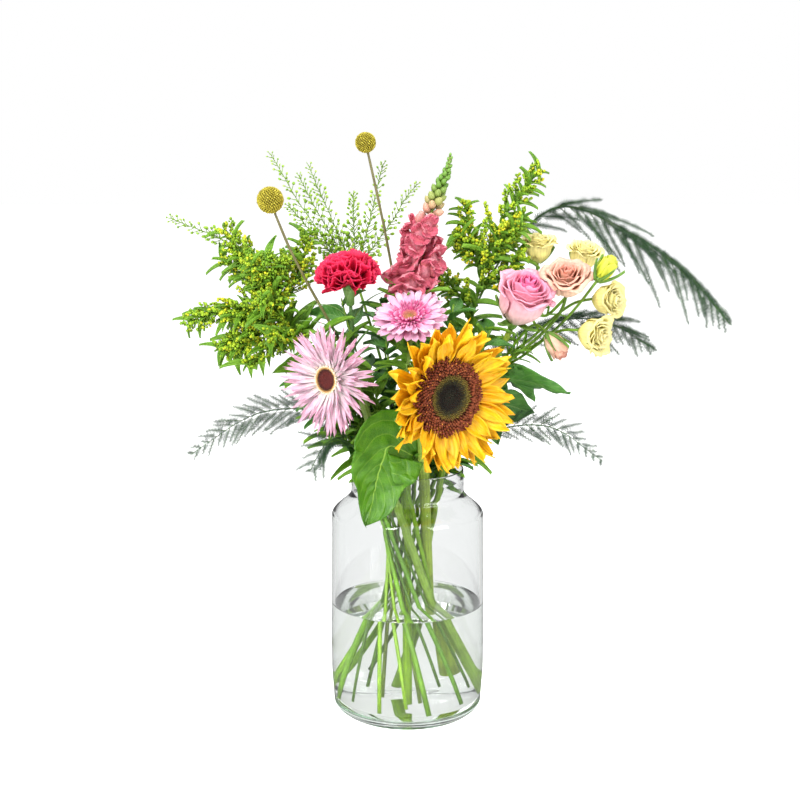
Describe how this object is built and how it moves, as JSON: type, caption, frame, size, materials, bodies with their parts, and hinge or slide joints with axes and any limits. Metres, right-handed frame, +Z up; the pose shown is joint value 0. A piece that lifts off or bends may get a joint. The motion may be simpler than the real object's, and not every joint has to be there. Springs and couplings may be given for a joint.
{
  "type": "flower bouquet in vase",
  "caption": "Mixed cut-flower bouquet around a sunflower, with gerberas, carnation, rose, snapdragon and greenery, standing in water in a clear glass milk-can vase.",
  "frame": {"origin": "centre of the vase's flat foot, on the surface it stands on", "axes": "+Z up along the vase's axis; -Y is the bouquet's front, the side that the sunflower faces; +X to the right seen from the front"},
  "size_m": [0.5515, 0.2337, 0.5765],
  "materials": {
    "clear_glass": "clear, faintly green where thick",
    "water": "clear",
    "sunflower_yellow": "thin matt petals",
    "sunflower_brown": "dense tiny florets, matt",
    "pale_pink": "thin satin petals",
    "gerbera_maroon": "dense tiny florets, matt",
    "gerbera_pink": "thin satin petals",
    "carnation_red": "ruffled matt petals",
    "dusty_pink": "thin satin petals",
    "rose_pink": "velvety petals",
    "peach": "thin satin petals",
    "cream_yellow": "thin satin petals",
    "bud_green": "smooth closed petals",
    "ball_yellow": "packed tiny florets, matt",
    "goldenrod_sprays": "tiny yellow and green buds",
    "pennycress_sprays": "flat green seed pods",
    "fern": "needle-fine, matt",
    "leaves": "satin, veined",
    "stems": "fresh green, satin"
  },
  "bodies": {
    "root": {"carnation_calyx": "stems", "carnation_petals": "carnation_red", "carnation_stem": "stems", "fern_arch": "fern", "fern_droop": "fern", "fern_front": "fern", "fern_left": "fern", "fern_low_right": "fern", "goldenrod_left_inner": "goldenrod_sprays", "goldenrod_left_leaf": "leaves", "goldenrod_left_low": "goldenrod_sprays", "goldenrod_left_side": "goldenrod_sprays", "goldenrod_left_stem": "stems", "goldenrod_left_top": "goldenrod_sprays", "goldenrod_right_inner": "goldenrod_sprays", "goldenrod_right_outer": "goldenrod_sprays", "goldenrod_right_stem": "stems", "goldenrod_right_top": "goldenrod_sprays", "green_bud": "bud_green", "large_craspedia_ball": "ball_yellow", "large_craspedia_stem": "stems", "peach_bloom": "peach", "peach_bud": "peach", "peach_lisianthus_stem": "stems", "pennycress_back_inner": "pennycress_sprays", "pennycress_back_middle": "pennycress_sprays", "pennycress_back_outer": "pennycress_sprays", "pennycress_back_stem": "stems", "pennycress_left_spray": "pennycress_sprays", "pennycress_left_stem": "stems", "pink_gerbera_rays": "gerbera_pink", "pink_gerbera_stem": "stems", "pink_gerbera_tuft": "gerbera_pink", "rose_bloom": "rose_pink", "rose_leaf_lower": "leaves", "rose_leaf_upper": "leaves", "rose_sepals": "leaves", "rose_stem": "stems", "small_craspedia_ball": "ball_yellow", "small_craspedia_stem": "stems", "snapdragon_buds": "stems", "snapdragon_florets": "dusty_pink", "snapdragon_stem": "stems", "spider_gerbera_disc": "gerbera_maroon", "spider_gerbera_rays": "pale_pink", "spider_gerbera_stem": "stems", "sunflower_bracts": "leaves", "sunflower_disc": "sunflower_brown", "sunflower_leaf": "leaves", "sunflower_rays": "sunflower_yellow", "sunflower_stem": "stems", "vase": "clear_glass", "water": "water", "yellow_bloom_back": "cream_yellow", "yellow_bloom_low": "cream_yellow", "yellow_bloom_right": "cream_yellow", "yellow_bloom_top": "cream_yellow", "yellow_lisianthus_stem": "stems"}
  },
  "joints": []
}
